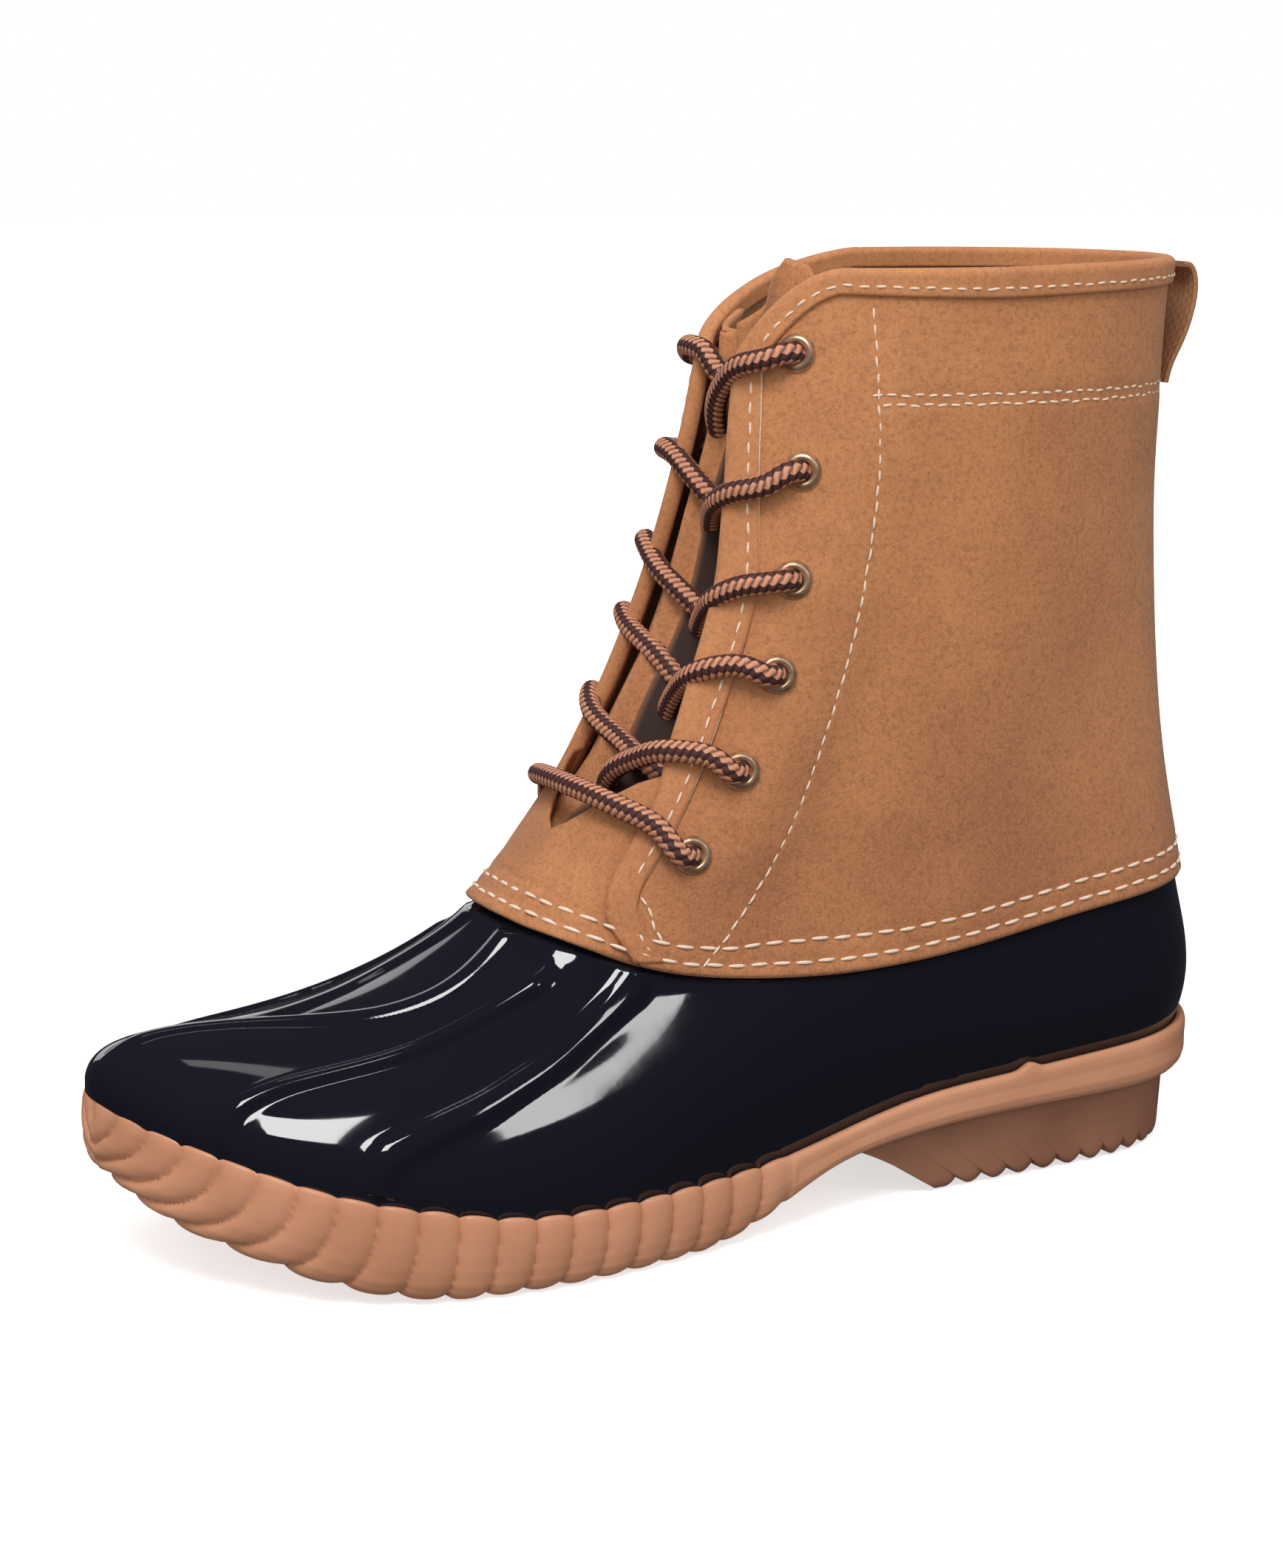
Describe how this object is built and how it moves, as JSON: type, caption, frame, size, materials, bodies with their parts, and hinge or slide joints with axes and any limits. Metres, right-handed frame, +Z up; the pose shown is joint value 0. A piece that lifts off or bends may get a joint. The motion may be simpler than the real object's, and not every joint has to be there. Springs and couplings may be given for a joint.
{
  "type": "duck boot",
  "caption": "Ankle-high left boot with a fluted gum rubber sole, a glossy moulded rubber shell and a laced leather shaft over a gusseted tongue.",
  "frame": {"origin": "bottom centre of the bounding box, on the plane the sole stands on", "axes": "+X towards the heel (toe towards -X), +Y towards the inner side of the foot (outer side towards -Y), +Z up"},
  "size_m": [0.2853, 0.1, 0.22],
  "materials": {
    "gum_rubber": "satin gum rubber with soft mould marks",
    "shell_rubber": "high gloss moulded rubber, navy black",
    "leather": "matt nubuck, tan",
    "tab_leather": "matt nubuck, tan",
    "band_leather": "matt nubuck, folded edge",
    "tongue_leather": "matt leather, darker in the folds",
    "insole": "brushed textile",
    "webbing": "ribbed webbing",
    "brass": "antique brass, worn bright on the rim",
    "lace": "round braided cord, dark brown and tan"
  },
  "bodies": {
    "root": {"outsole": "gum_rubber", "rubber_shell": "shell_rubber", "leather_shaft": "leather", "front_tab": "tab_leather", "edge_band": "band_leather", "tongue": "tongue_leather", "insole": "insole", "pull_loop": "webbing", "eyelet_outer_1": "brass", "eyelet_inner_1": "brass", "eyelet_outer_2": "brass", "eyelet_inner_2": "brass", "eyelet_outer_3": "brass", "eyelet_inner_3": "brass", "eyelet_outer_4": "brass", "eyelet_inner_4": "brass", "eyelet_outer_5": "brass", "eyelet_inner_5": "brass", "eyelet_outer_6": "brass", "eyelet_inner_6": "brass", "lace_bar": "lace", "lace_cross_1": "lace", "lace_cross_2": "lace", "lace_cross_3": "lace", "lace_cross_4": "lace", "lace_cross_5": "lace"}
  },
  "joints": []
}
